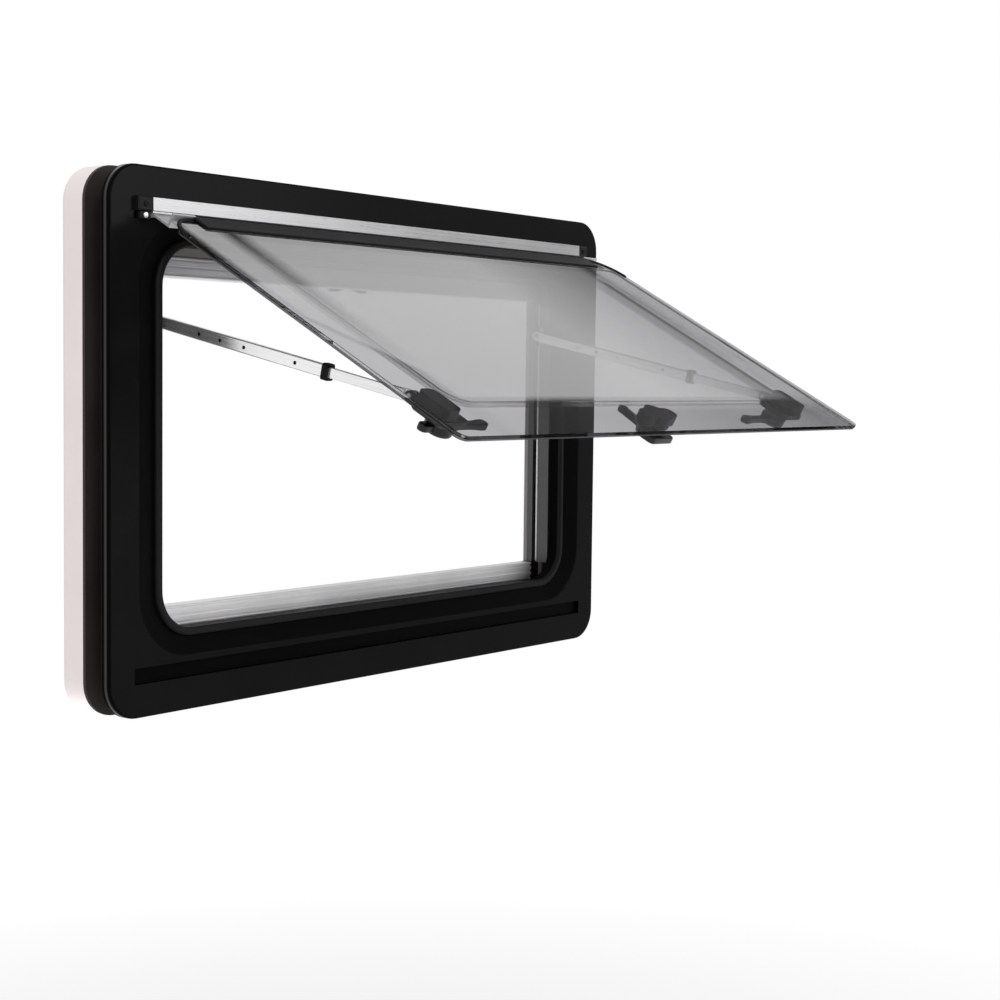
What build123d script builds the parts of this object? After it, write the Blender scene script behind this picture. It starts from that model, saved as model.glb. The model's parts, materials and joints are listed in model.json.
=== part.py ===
from build123d import *
import math
import os

# A top-hung caravan window, held open on its stays. Millimetres, +Z up, +Y towards the inside.
# The origin lies on the back of the flange, midway up the strip of flange below the cut-out in the wall.

# Outer frame: flange on the outside wall and sleeve through the wall
outer_w = 940
outer_h = 600
outer_r = 40
flange_t = 12
flange_edge_r = 3
wall_overlap = 20
wall_t = 26
cut_clearance = 2
sleeve_d = 24
sleeve_r = 30
sleeve_seat = 2
frame_wall = 4
reveal_d = 10

# Clear opening of the outer frame, with its bevel and seal seat
side_rail = 82
head_rail = 84
sill_rail = 92
opening_r = 45
seal_w = 9
seal_h = 5
seal_edge = 2
bevel_w = 32
bevel_h = 22
seat_depth = 8

# Hinge rail in the head and the matching groove in the sill
channel_inset = 36
channel_w = outer_w - 2 * channel_inset
rail_top_drop = 34
channel_h = 24
channel_clearance = 1
rail_h = 15
rail_front = 7
rail_plate = 2
rail_web = 3
rail_leg = 4
cap_w = 21
groove_drop = 37
groove_h = 18
groove_depth = 5
hinge_bead_r = 3
hinge_clearance = 0.3
hinge_wall = 1.9
hinge_drop = 51
hinge_out = 13

# Pane, hanging from the hinge bead and held open
open_angle = 61
pane_cover = 40
pane_top = 34.3
pane_len = 460.7
pane_t = 4
pane_out = 7.75
pane_top_r = 45
pane_bottom_r = 12
leaf_t = 2
leaf_step = 31
jaw_len = 17
seat_gap = 0.3
strip_w = 24
strip_t = 2.75
rim_edge = 1
rim_top = 21
rim_t = 2.5
shell_edge = 73
shell_top = 40
shell_bottom = 69
shell_d = 11.75
shell_draft = 10
shell_t = 2.5
shell_r = 30

# Inner side: clamp frame, white trim, blinds
clamp_t = 4
trim_d = 34
trim_edge_r = 6
trim_lip = 2
trim_side = 71
trim_head = 80
trim_sill = 76
trim_open_r = 8
guide_out = 12
guide_y0 = 12
guide_y1 = 48
guide_slot_w = 6
guide_slot_d = 8
guide_slot_y = 36
cover_h = 11
cover_y0 = 36
cover_y1 = 60
bar_h = 24
bar_gap = 0.5
bar_y0 = 36
bar_d = 22
bar_edge_r = 2
bar_groove_w = 3
bar_groove_d = 2
bar_line_w = 2
bar_line_d = 1
bar_groove_n = 3
cap_len = 17
cap_edge = 1.5
catch_w = 68
catch_h = 27
catch_t = 6
catch_scoop_r = 60
catch_scoop = 4

# Telescopic stays
stay_clear = 17
stay_y = 24
stay_rise = 135
stay_tube_w = 9
stay_tube_h = 14
stay_wall = 1.2
stay_tube_len = 257
stay_overlap = 60
stay_gap = 0.3
stay_hole_r = 1.5
stay_hole_at = (75, 107, 143, 218)
collar_len = 7
collar_wall = 2
eye_r = 6
eye_t = 3
eye_gap = 9
pivot_pin_r = 3
pivot_plate_t = 4
pivot_plate_h = 26
pivot_plate_w = 18
pin_clearance = 0.05

# Latches on the rim of the pane
latch_up = 80
latch_inset = 17
latch_reach = 33
latch_body_w = 26
latch_body_len = 44
latch_body_r = 8
latch_body_h = 13.25
latch_top_w = 46
latch_top_len = 46
latch_top_h = 7
ear_t = 3
ear_gap = 0.5
ear_reach = 18
foot_drop = 15.25
ear_pin_r = 2.5
boss_r = 10
boss_h = 5
turn_pin_r = 4
turn_pin_len = 7
hub_r = 16
hub_h = 12
hub_edge = 3
hub_gap = 0.3
lever_len = 72
lever_tail = 25
lever_drop = 1
lever_t = 8
lever_end_r = 6
lever_edge = 1.5
centre_up = 49
centre_body_h = 14
centre_body_r = 18
centre_lobe_r = 10
centre_lobe_x = 24
centre_arm = 50
centre_arm_w = 9
centre_arm_angle = 78
tongue_len = 22
tongue_w = 46
tongue_r = 6

# Derived sizes
centre_z = outer_h / 2 - wall_overlap / 2
sleeve_w = outer_w - 2 * (wall_overlap + cut_clearance)
sleeve_h = outer_h - 2 * (wall_overlap + cut_clearance)
opening_w = outer_w - 2 * side_rail
opening_h = outer_h - head_rail - sill_rail
opening_up = (sill_rail - head_rail) / 2
seat_w = opening_w + 2 * seal_w
seat_h = opening_h + 2 * seal_w
seat_r = opening_r + seal_w
seat_y = seat_depth - flange_t
channel_top = outer_h / 2 - rail_top_drop
rail_len = channel_w - 2 * cap_w
rail_z = channel_top - channel_clearance
rail_y = -flange_t - rail_front
trim_y0 = wall_t + clamp_t
trim_y1 = trim_y0 + trim_d
trim_open_w = outer_w - 2 * trim_side
trim_open_h = outer_h - trim_head - trim_sill
trim_open_up = (trim_sill - trim_head) / 2
trim_open_top = trim_open_up + trim_open_h / 2
trim_open_bottom = trim_open_up - trim_open_h / 2
bar_top_z = trim_open_top - cover_h - bar_gap - bar_h
bar_bottom_z = trim_open_bottom + cover_h + bar_gap
bar_len = trim_open_w - 2 * cap_len
guide_back = trim_open_w / 2 + frame_wall
guide_face = trim_open_w / 2 - guide_out
guide_z0 = bar_bottom_z + bar_h + bar_gap
guide_z1 = bar_top_z - bar_gap
hinge_z = outer_h / 2 - hinge_drop
shell_out = pane_out - shell_d
pane_w = opening_w + 2 * pane_cover
rim_out = pane_out - rim_t
shell_x = pane_w / 2 - shell_edge
shell_from = pane_top + shell_top
pane_bottom = pane_top + pane_len
shell_to = pane_bottom - shell_bottom
stay_x = guide_face - stay_clear
latch_x = stay_x - latch_inset
latch_turn_at = pane_bottom - latch_up
latch_stay_at = latch_turn_at - latch_reach
centre_turn_at = pane_bottom - centre_up


def elevation(y, z=0.0):
    """Upright plane at depth y, facing outside, centred z above the middle of the window."""
    return Plane(origin=(0, y, centre_z + z), x_dir=(1, 0, 0), z_dir=(0, -1, 0))


def section(x, y, z):
    """Plane across the window at x: local x is +Y, local y is +Z, extruding goes along +X."""
    return Plane(origin=(x, y, centre_z + z), x_dir=(0, 1, 0), z_dir=(1, 0, 0))


angle = math.radians(open_angle)
sash_down = Vector(0, -math.sin(angle), -math.cos(angle))
sash_out = Vector(0, -math.cos(angle), math.sin(angle))
hinge_point = Vector(0, -hinge_out, centre_z + hinge_z)


def sash(out):
    """Plane of the open pane, out from the hinge bead: local y runs up the pane to the hinge."""
    return Plane(origin=hinge_point + sash_out * out, x_dir=(1, 0, 0), z_dir=tuple(sash_out))


def sash_section(x):
    """Plane across the open pane: local x runs down the pane, local y runs inwards."""
    return Plane(origin=hinge_point + Vector(x, 0, 0), x_dir=tuple(sash_down), z_dir=(1, 0, 0))


def save(builder, name):
    builder.part.label = name
    export_step(builder.part, f"parts/{name}.step")


os.makedirs("parts", exist_ok=True)

# Outer frame
with BuildPart() as outer_frame:
    with BuildSketch(elevation(0)):
        RectangleRounded(outer_w, outer_h, outer_r)
    extrude(amount=flange_t)
    fillet(outer_frame.faces().sort_by(Axis.Y)[0].edges(), flange_edge_r)
    with BuildSketch(elevation(0)):
        RectangleRounded(sleeve_w, sleeve_h, sleeve_r)
    extrude(amount=sleeve_seat, mode=Mode.SUBTRACT)
    with BuildSketch(elevation(reveal_d, opening_up)):
        RectangleRounded(opening_w + 2 * frame_wall, opening_h + 2 * frame_wall, opening_r + frame_wall)
    extrude(amount=reveal_d + sleeve_seat)
    with BuildSketch(elevation(reveal_d, opening_up)):
        RectangleRounded(opening_w, opening_h, opening_r)
    extrude(amount=reveal_d + flange_t, mode=Mode.SUBTRACT)
    with BuildSketch(elevation(seat_y, opening_up)):
        RectangleRounded(seat_w, seat_h, seat_r)
    with BuildSketch(elevation(-flange_t, opening_up)):
        RectangleRounded(seat_w + 2 * bevel_w, seat_h + 2 * bevel_h, seat_r + bevel_h)
    loft(mode=Mode.SUBTRACT)
    with BuildSketch(elevation(seat_y, channel_top - channel_h / 2)):
        Rectangle(channel_w, channel_h)
    extrude(amount=seat_depth, mode=Mode.SUBTRACT)
    with BuildSketch(elevation(groove_depth - flange_t, groove_drop + groove_h / 2 - outer_h / 2)):
        Rectangle(channel_w, groove_h)
    extrude(amount=groove_depth, mode=Mode.SUBTRACT)
save(outer_frame, "outer_frame")

# Sleeve through the wall, seated in the back of the flange
with BuildPart() as wall_sleeve:
    with BuildSketch(elevation(sleeve_d)):
        RectangleRounded(sleeve_w, sleeve_h, sleeve_r)
        offset(amount=-frame_wall, mode=Mode.SUBTRACT)
    extrude(amount=sleeve_d + sleeve_seat)
save(wall_sleeve, "wall_sleeve")

# Rubber bead round the opening
with BuildPart() as opening_seal:
    with BuildSketch(elevation(seat_y, opening_up)):
        RectangleRounded(seat_w, seat_h, seat_r)
        RectangleRounded(opening_w, opening_h, opening_r, mode=Mode.SUBTRACT)
    extrude(amount=seal_h)
    chamfer(opening_seal.faces().sort_by(Axis.Y)[0].edges(), seal_edge)
save(opening_seal, "opening_seal")

# Hinge rail: inverted channel with a round socket for the bead of the sash rail
with BuildPart() as hinge_rail:
    with BuildSketch(section(-rail_len / 2, 0, 0)):
        with Locations((seat_y, rail_z)):
            Rectangle(rail_leg, rail_h, align=(Align.MAX, Align.MAX))
            Rectangle(seat_y - rail_y, rail_web, align=(Align.MAX, Align.MAX))
        with Locations((rail_y, rail_z)):
            Rectangle(rail_plate, rail_h - 1, align=(Align.MIN, Align.MAX))
        with Locations((-hinge_out, hinge_z)):
            Circle(hinge_bead_r + hinge_clearance + hinge_wall)
            Circle(hinge_bead_r + hinge_clearance, mode=Mode.SUBTRACT)
        with BuildLine():
            mouth = [(-hinge_out, hinge_z)]
            for turn, reach in ((-14, 9), (32, 13), (open_angle + 18, 9)):
                swing = math.radians(turn)
                mouth.append((-hinge_out - reach * math.sin(swing), hinge_z - reach * math.cos(swing)))
            Polyline(*mouth, close=True)
        make_face(mode=Mode.SUBTRACT)
    extrude(amount=rail_len)
save(hinge_rail, "hinge_rail")

# Black blocks at the ends of the hinge rail
for side, name in ((-1, "left"), (1, "right")):
    with BuildPart() as hinge_cap:
        with BuildSketch(elevation(seat_y, rail_z - rail_h / 2)):
            with Locations((side * (rail_len + cap_w) / 2, 0)):
                Rectangle(cap_w, rail_h)
        extrude(amount=seat_y - rail_y)
        chamfer(hinge_cap.faces().sort_by(Axis.Y)[0].edges(), cap_edge)
    save(hinge_cap, f"hinge_cap_{name}")

# Sash rail: hinge bead, leaf and the jaw under the pane's top edge
with BuildPart() as sash_rail:
    with BuildSketch(sash_section(-rail_len / 2)):
        Circle(hinge_bead_r)
        Rectangle(leaf_step + leaf_t, leaf_t, align=(Align.MIN, Align.CENTER))
        with Locations((leaf_step, leaf_t / 2)):
            Rectangle(leaf_t + 1, leaf_t / 2 + pane_out + pane_t + strip_t, align=(Align.MIN, Align.MAX))
        with Locations((leaf_step, seat_gap - pane_out)):
            Rectangle(leaf_t + 1 + jaw_len, leaf_t, align=(Align.MIN, Align.MIN))
    extrude(amount=rail_len)
save(sash_rail, "sash_rail")

# Outer sheet of the pane
with BuildPart() as pane_outer:
    with BuildSketch(sash(pane_out)) as pane_outline:
        with Locations((0, -pane_top)):
            Rectangle(pane_w, pane_len, align=(Align.CENTER, Align.MAX))
        fillet(pane_outline.vertices().group_by(Axis.Y)[-1], pane_top_r)
        fillet(pane_outline.vertices().group_by(Axis.Y)[0], pane_bottom_r)
    extrude(amount=pane_t)
save(pane_outer, "pane_outer")

# Black strip along the pane's top edge
with BuildPart() as pane_top_seal:
    with BuildSketch(sash(pane_out + pane_t)):
        with Locations((0, -pane_top)):
            Rectangle(pane_w - 2 * pane_top_r, strip_w, align=(Align.CENTER, Align.MAX))
    extrude(amount=strip_t)
    chamfer(pane_top_seal.faces().filter_by(sash(0)).sort_by(Axis.Z)[-1].edges(), strip_t / 3)
save(pane_top_seal, "pane_top_seal")

# Inner sheet of the pane: flat rim on the outer sheet, and a formed hollow shell
with BuildPart() as pane_inner:
    with BuildSketch(sash(pane_out)):
        with Locations((0, -(pane_top + rim_top + pane_bottom) / 2)):
            rim_w = pane_w - 2 * rim_edge
            RectangleRounded(rim_w, pane_len - rim_top - 2 * rim_edge, pane_bottom_r - rim_edge)
    extrude(amount=-rim_t)
    shell_mid = -(shell_from + shell_to) / 2
    shell_len = shell_to - shell_from
    with BuildSketch(sash(rim_out)):
        with Locations((0, shell_mid)):
            RectangleRounded(2 * shell_x, shell_len, shell_r)
    with BuildSketch(sash(shell_out)):
        with Locations((0, shell_mid)):
            RectangleRounded(2 * (shell_x - shell_draft), shell_len - 2 * shell_draft, shell_r)
    loft()
    with BuildSketch(sash(pane_out)):
        with Locations((0, shell_mid)):
            RectangleRounded(2 * (shell_x - shell_t), shell_len - 2 * shell_t, shell_r - shell_t)
    with BuildSketch(sash(shell_out + shell_t)):
        with Locations((0, shell_mid)):
            inset = shell_t + shell_draft
            RectangleRounded(2 * (shell_x - inset), shell_len - 2 * inset, shell_r - shell_t)
    loft(mode=Mode.SUBTRACT)
save(pane_inner, "pane_inner")

# Black clamp ring behind the wall, seated on the end of the sleeve
with BuildPart() as clamp_frame:
    with BuildSketch(elevation(trim_y0)):
        RectangleRounded(outer_w, outer_h, outer_r)
        with Locations((0, trim_open_up)):
            Rectangle(2 * guide_back, trim_open_h + 2 * frame_wall, mode=Mode.SUBTRACT)
    extrude(amount=clamp_t)
    with BuildSketch(elevation(wall_t)):
        RectangleRounded(sleeve_w, sleeve_h, sleeve_r)
        offset(amount=-frame_wall, mode=Mode.SUBTRACT)
    extrude(amount=wall_t - sleeve_d)
save(clamp_frame, "clamp_frame")

# White trim ring, hollow towards the wall
with BuildPart() as inner_trim:
    with BuildSketch(elevation(trim_y1)):
        RectangleRounded(outer_w, outer_h, outer_r)
    extrude(amount=trim_d)
    fillet(inner_trim.faces().sort_by(Axis.Y)[-1].edges(), trim_edge_r)
    with BuildSketch(elevation(trim_y1, trim_open_up)):
        RectangleRounded(trim_open_w, trim_open_h, trim_open_r)
    extrude(amount=trim_d, mode=Mode.SUBTRACT)
    chamfer(inner_trim.faces().sort_by(Axis.Y)[-1].inner_wires()[0].edges(), trim_lip)
    with BuildSketch(elevation(trim_y1 - frame_wall)):
        RectangleRounded(outer_w - 2 * frame_wall, outer_h - 2 * frame_wall, outer_r - frame_wall)
        with Locations((0, trim_open_up)):
            hollow_w = trim_open_w + 2 * frame_wall
            hollow_h = trim_open_h + 2 * frame_wall
            RectangleRounded(hollow_w, hollow_h, trim_open_r + frame_wall, mode=Mode.SUBTRACT)
    extrude(amount=trim_d - frame_wall, mode=Mode.SUBTRACT)
save(inner_trim, "inner_trim")

# White strips beside the blind bars, following the corners of the trim's opening
for up, name in ((1, "top"), (-1, "bottom")):
    with BuildPart() as cassette_cover:
        with BuildSketch(elevation(cover_y1, trim_open_up)):
            RectangleRounded(trim_open_w, trim_open_h, trim_open_r)
            with Locations((0, up * (trim_open_h - cover_h) / 2)):
                Rectangle(trim_open_w, cover_h, mode=Mode.INTERSECT)
        extrude(amount=cover_y1 - cover_y0)
    save(cassette_cover, f"cassette_cover_{name}")

# Side guides of the blinds
for side, name in ((-1, "left"), (1, "right")):
    with BuildPart() as blind_guide:
        with BuildSketch(Plane.XY.offset(centre_z + guide_z0)):
            outwards = (Align.MIN if side > 0 else Align.MAX, Align.MIN)
            with Locations((side * guide_face, guide_y0)):
                Rectangle(guide_back - guide_face, trim_y0 - guide_y0, align=outwards)
                Rectangle(guide_out, guide_y1 - guide_y0, align=outwards)
            with Locations((side * guide_face, guide_slot_y)):
                Rectangle(2 * guide_slot_d, guide_slot_w, mode=Mode.SUBTRACT)
        extrude(amount=guide_z1 - guide_z0)
    save(blind_guide, f"blind_guide_{name}")

# Blind bars, their end caps, and the catch on the upper bar
for low, name in ((bar_top_z, "top"), (bar_bottom_z, "bottom")):
    with BuildPart() as blind_bar:
        with BuildSketch(section(-bar_len / 2, bar_y0, low)):
            with Locations((bar_d / 2, bar_h / 2)):
                RectangleRounded(bar_d, bar_h, bar_edge_r)
            for step in range(bar_groove_n):
                level = bar_h * (step + 0.5) / bar_groove_n
                with Locations((0, level)):
                    Rectangle(2 * bar_groove_d, bar_groove_w, mode=Mode.SUBTRACT)
                with Locations((bar_d, level)):
                    Rectangle(2 * bar_line_d, bar_line_w, mode=Mode.SUBTRACT)
        extrude(amount=bar_len)
    save(blind_bar, f"blind_bar_{name}")
    for side, end in ((-1, "left"), (1, "right")):
        with BuildPart() as bar_cap:
            with BuildSketch(section(side * (bar_len + cap_len) / 2 - cap_len / 2, bar_y0, low)):
                Rectangle(bar_d, bar_h, align=(Align.MIN, Align.MIN))
            extrude(amount=cap_len)
            chamfer(bar_cap.faces().sort_by(Axis.Y)[-1].edges(), cap_edge)
        save(bar_cap, f"bar_cap_{name}_{end}")

with BuildPart() as blind_catch:
    with BuildSketch(elevation(bar_y0 + bar_d + catch_t, bar_top_z + bar_h)):
        Rectangle(catch_w, catch_h, align=(Align.CENTER, Align.MAX))
        with Locations((0, catch_scoop - catch_h - catch_scoop_r)):
            Circle(catch_scoop_r, mode=Mode.SUBTRACT)
    extrude(amount=catch_t)
    chamfer(blind_catch.faces().sort_by(Axis.Y)[-1].edges(), cap_edge)
save(blind_catch, "blind_catch")

# Telescopic stays, from a pivot on each guide down to the fork of the latch body on the pane
stay_top = Vector(0, stay_y, centre_z + stay_rise)
stay_foot = hinge_point + sash_down * latch_stay_at + sash_out * (rim_out - foot_drop)
stay_run = stay_foot - stay_top
stay_dir = stay_run.normalized()
rod_w = stay_tube_w - 2 * (stay_wall + stay_gap)
rod_h = stay_tube_h - 2 * (stay_wall + stay_gap)


def along_stay(x, distance):
    """Plane square to the stay at a distance from its upper pivot: local x is +X."""
    start = stay_top + Vector(x, 0, 0) + stay_dir * distance
    return Plane(origin=start, x_dir=(1, 0, 0), z_dir=tuple(stay_dir))


def beside_stay(point, x, direction):
    """Upright plane through a point of the stay, moved to x: local x runs in the direction given."""
    return Plane(origin=point + Vector(x, 0, 0), x_dir=tuple(direction), z_dir=(1, 0, 0))


for side, name in ((-1, "left"), (1, "right")):
    x = side * stay_x
    inward = -side
    with BuildPart() as stay_pivot:
        with BuildSketch(beside_stay(stay_top, side * guide_face, (0, 1, 0))):
            RectangleRounded(pivot_plate_w, pivot_plate_h, 3)
        extrude(amount=inward * pivot_plate_t)
        with BuildSketch(beside_stay(stay_top, side * guide_face, (0, 1, 0))):
            Circle(pivot_pin_r)
        extrude(amount=inward * (guide_face - stay_x + eye_t))
    save(stay_pivot, f"stay_pivot_{name}")

    with BuildPart() as stay_tube:
        with BuildSketch(along_stay(x, eye_gap)):
            RectangleRounded(stay_tube_w, stay_tube_h, 2)
        extrude(amount=stay_tube_len - eye_gap)
        with BuildSketch(along_stay(x, eye_gap + stay_wall)):
            RectangleRounded(stay_tube_w - 2 * stay_wall, stay_tube_h - 2 * stay_wall, 1)
        extrude(amount=stay_tube_len, mode=Mode.SUBTRACT)
        with BuildSketch(beside_stay(stay_top, x - eye_t / 2, stay_dir)):
            Circle(eye_r)
            Rectangle(eye_gap + stay_wall, 2 * eye_r, align=(Align.MIN, Align.CENTER))
            Circle(pivot_pin_r + pin_clearance, mode=Mode.SUBTRACT)
        extrude(amount=eye_t)
        for at in stay_hole_at:
            with BuildSketch(beside_stay(stay_top + stay_dir * at, x, stay_dir)):
                Circle(stay_hole_r)
            extrude(amount=stay_tube_w, both=True, mode=Mode.SUBTRACT)
    save(stay_tube, f"stay_tube_{name}")

    with BuildPart() as stay_collar:
        with BuildSketch(along_stay(x, stay_tube_len)):
            RectangleRounded(stay_tube_w + 2 * collar_wall, stay_tube_h + 2 * collar_wall, 3)
            RectangleRounded(rod_w + 2 * stay_gap, rod_h + 2 * stay_gap, 1, mode=Mode.SUBTRACT)
        extrude(amount=collar_len)
    save(stay_collar, f"stay_collar_{name}")

    with BuildPart() as stay_rod:
        with BuildSketch(along_stay(x, stay_tube_len - stay_overlap)):
            RectangleRounded(rod_w, rod_h, 1)
        extrude(amount=stay_run.length - eye_gap - stay_tube_len + stay_overlap)
        with BuildSketch(beside_stay(stay_foot, x - eye_t / 2, -stay_dir)):
            Circle(eye_r)
            Rectangle(eye_gap + stay_wall, 2 * eye_r, align=(Align.MIN, Align.CENTER))
            Circle(ear_pin_r + pin_clearance, mode=Mode.SUBTRACT)
        extrude(amount=eye_t)
    save(stay_rod, f"stay_rod_{name}")

# Side latches: a foot on the rim of the pane with a fork for the stay, and a broad top with the lever's boss


def hub_section(x, along, out):
    """Plane through a lever's axis: local x runs up the pane, local y inwards from the hub's foot."""
    foot = hinge_point + Vector(x, 0, 0) + sash_down * along + sash_out * out
    return Plane(origin=foot, x_dir=tuple(-sash_down), z_dir=(-1, 0, 0))


pin_reach = boss_h + hub_gap + turn_pin_len
body_out = rim_out - latch_body_h - latch_top_h
hub_out = body_out - boss_h - hub_gap
for side, name in ((-1, "left"), (1, "right")):
    x = side * stay_x
    turn_x = side * latch_x
    with BuildPart() as latch_base:
        with BuildSketch(sash(rim_out)):
            with Locations((x, -latch_turn_at)):
                RectangleRounded(latch_body_w, latch_body_len, latch_body_r)
        extrude(amount=-latch_body_h)
        with BuildSketch(sash(rim_out - latch_body_h)):
            with Locations(((x + turn_x) / 2, -latch_turn_at)):
                RectangleRounded(latch_top_w, latch_top_len, latch_body_r)
        extrude(amount=-latch_top_h)
        chamfer(latch_base.faces().filter_by(sash(0)).sort_by(Axis.Z)[0].edges(), lever_edge)
        for ear in (-1, 1):
            with BuildSketch(beside_stay(stay_foot, x + ear * (eye_t / 2 + ear_gap), sash_down)):
                Circle(eye_r)
                Rectangle(ear_reach, 2 * eye_r, align=(Align.MIN, Align.CENTER))
            extrude(amount=ear * ear_t)
        with BuildSketch(beside_stay(stay_foot, x, sash_down)):
            Circle(ear_pin_r)
        extrude(amount=eye_t / 2 + ear_gap + ear_t / 2, both=True)
        for radius, length in ((boss_r, boss_h), (turn_pin_r, pin_reach)):
            with BuildSketch(sash(body_out)):
                with Locations((turn_x, -latch_turn_at)):
                    Circle(radius)
            extrude(amount=-length)
    save(latch_base, f"latch_base_{name}")

    tail = (turn_x + side * lever_tail, -latch_turn_at)
    tip = (turn_x - side * lever_len, -latch_turn_at)
    with BuildPart() as latch_lever:
        with BuildSketch(sash(hub_out - lever_drop)):
            with Locations(tail, tip):
                Circle(lever_end_r)
            make_hull()
        extrude(amount=-lever_t)
        chamfer(latch_lever.faces().filter_by(sash(0)).edges(), lever_edge)
        hub_plane = hub_section(turn_x, latch_turn_at, hub_out)
        with BuildSketch(hub_plane) as hub_profile:
            Rectangle(hub_r, hub_h, align=(Align.MIN, Align.MIN))
            chamfer(hub_profile.vertices().group_by(Axis.X)[-1].sort_by(Axis.Y)[-1], hub_edge)
        revolve(axis=Axis(hub_plane.origin, hub_plane.y_dir))
        with BuildSketch(sash(hub_out)):
            with Locations((turn_x, -latch_turn_at)):
                Circle(turn_pin_r + pin_clearance)
        extrude(amount=-turn_pin_len - hub_gap, mode=Mode.SUBTRACT)
    save(latch_lever, f"latch_lever_{name}")

# Centre latch: a wide body and a lever with an arm and a tongue
centre_body_out = rim_out - centre_body_h
centre_hub_out = centre_body_out - boss_h - hub_gap
with BuildPart() as latch_base_centre:
    with BuildSketch(sash(rim_out)):
        with Locations((0, -centre_turn_at)):
            SlotCenterToCenter(2 * centre_lobe_x, 2 * centre_lobe_r)
            Circle(centre_body_r)
    extrude(amount=-centre_body_h)
    chamfer(latch_base_centre.faces().filter_by(sash(0)).sort_by(Axis.Z)[0].edges(), lever_edge)
    for radius, length in ((boss_r, boss_h), (turn_pin_r, pin_reach)):
        with BuildSketch(sash(centre_body_out)):
            with Locations((0, -centre_turn_at)):
                Circle(radius)
        extrude(amount=-length)
save(latch_base_centre, "latch_base_centre")

with BuildPart() as latch_lever_centre:
    swing = math.radians(centre_arm_angle)
    arm_x = centre_arm * math.cos(swing)
    arm_y = centre_arm * math.sin(swing) - centre_turn_at
    with BuildSketch(sash(centre_hub_out - lever_drop)):
        with Locations((0, -centre_turn_at - tongue_len / 2)):
            RectangleRounded(tongue_w, tongue_len, tongue_r)
        with Locations(Location((arm_x / 2, (arm_y - centre_turn_at) / 2, 0), (0, 0, centre_arm_angle))):
            SlotCenterToCenter(centre_arm, centre_arm_w)
        with Locations((arm_x, arm_y)):
            Circle(lever_end_r)
    extrude(amount=-lever_t)
    chamfer(latch_lever_centre.faces().filter_by(sash(0)).edges(), lever_edge)
    hub_plane = hub_section(0, centre_turn_at, centre_hub_out)
    with BuildSketch(hub_plane) as hub_profile:
        Rectangle(hub_r, hub_h, align=(Align.MIN, Align.MIN))
        chamfer(hub_profile.vertices().group_by(Axis.X)[-1].sort_by(Axis.Y)[-1], hub_edge)
    revolve(axis=Axis(hub_plane.origin, hub_plane.y_dir))
    with BuildSketch(sash(centre_hub_out)):
        with Locations((0, -centre_turn_at)):
            Circle(turn_pin_r + pin_clearance)
    extrude(amount=-turn_pin_len - hub_gap, mode=Mode.SUBTRACT)
save(latch_lever_centre, "latch_lever_centre")
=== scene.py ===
import json
import math

import bpy
from mathutils import Matrix, Vector


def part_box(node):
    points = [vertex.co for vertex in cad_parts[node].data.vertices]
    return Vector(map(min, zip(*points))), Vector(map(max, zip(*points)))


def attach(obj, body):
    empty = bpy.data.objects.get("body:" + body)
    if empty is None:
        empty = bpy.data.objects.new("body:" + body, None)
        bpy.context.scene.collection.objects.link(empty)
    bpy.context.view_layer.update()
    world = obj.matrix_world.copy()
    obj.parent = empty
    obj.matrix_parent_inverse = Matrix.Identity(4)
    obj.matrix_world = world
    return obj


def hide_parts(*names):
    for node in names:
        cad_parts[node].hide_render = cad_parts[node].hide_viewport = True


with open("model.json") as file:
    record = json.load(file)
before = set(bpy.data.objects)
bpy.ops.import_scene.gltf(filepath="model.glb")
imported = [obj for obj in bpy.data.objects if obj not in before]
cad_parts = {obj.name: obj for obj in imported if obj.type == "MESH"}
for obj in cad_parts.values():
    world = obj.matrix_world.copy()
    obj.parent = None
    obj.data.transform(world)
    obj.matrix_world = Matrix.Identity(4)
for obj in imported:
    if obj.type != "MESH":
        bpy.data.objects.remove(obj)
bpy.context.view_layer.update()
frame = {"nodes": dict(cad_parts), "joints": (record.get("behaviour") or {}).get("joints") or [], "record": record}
nodes = frame["nodes"]
joints = {joint["name"]: joint for joint in frame["joints"]}
print("frame loaded with", len(nodes), "pieces")


def latchHub(side):
    return Vector(joints["latch_" + side + "_turn"]["pos_m"])


# directions of the open pane, read from the latch that turns about the pane's own normal
acrossPane = Vector((1, 0, 0))
outOfPane = Vector(joints["latch_right_turn"]["axis"])
downPane = acrossPane.cross(outOfPane)

# points at the right latch: on the room side of the pane's rim, and on the pane's hinge axis
pane = {"rimThick": 0.0025, "sheetThick": 0.004,
        "hubToRim": 0.02555, "hingeToHub": 0.415, "hingeToRim": 0.00525}
rimPoint = latchHub("right") + outOfPane * pane["hubToRim"]
hingePoint = rimPoint - downPane * pane["hingeToHub"] - outOfPane * pane["hingeToRim"]


# selecting and editing, as by hand
nearEnough = 1e-6  # metres, for picking edges and faces by their place


def deselectAll():
    if bpy.context.object and bpy.context.object.mode != "OBJECT":
        bpy.ops.object.mode_set(mode="OBJECT")
    bpy.ops.object.select_all(action="DESELECT")


def makeActive(piece):
    deselectAll()
    piece.select_set(True)
    bpy.context.view_layer.objects.active = piece


def editSelected(piece, kind, test):
    # leaves the piece in edit mode with only the vertices, edges or faces that pass the test selected
    makeActive(piece)
    bpy.ops.object.mode_set(mode="EDIT")
    bpy.ops.mesh.select_mode(type=kind)
    bpy.ops.mesh.select_all(action="DESELECT")
    bpy.ops.object.mode_set(mode="OBJECT")
    mesh = piece.data
    if kind == "VERT":
        for vertex in mesh.vertices:
            vertex.select = test(vertex.co)
    elif kind == "EDGE":
        for edge in mesh.edges:
            ends = [mesh.vertices[i].co for i in edge.vertices]
            edge.select = test(ends[0], ends[1])
    else:
        for face in mesh.polygons:
            face.select = test(face.center)
    bpy.ops.object.mode_set(mode="EDIT")


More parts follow.
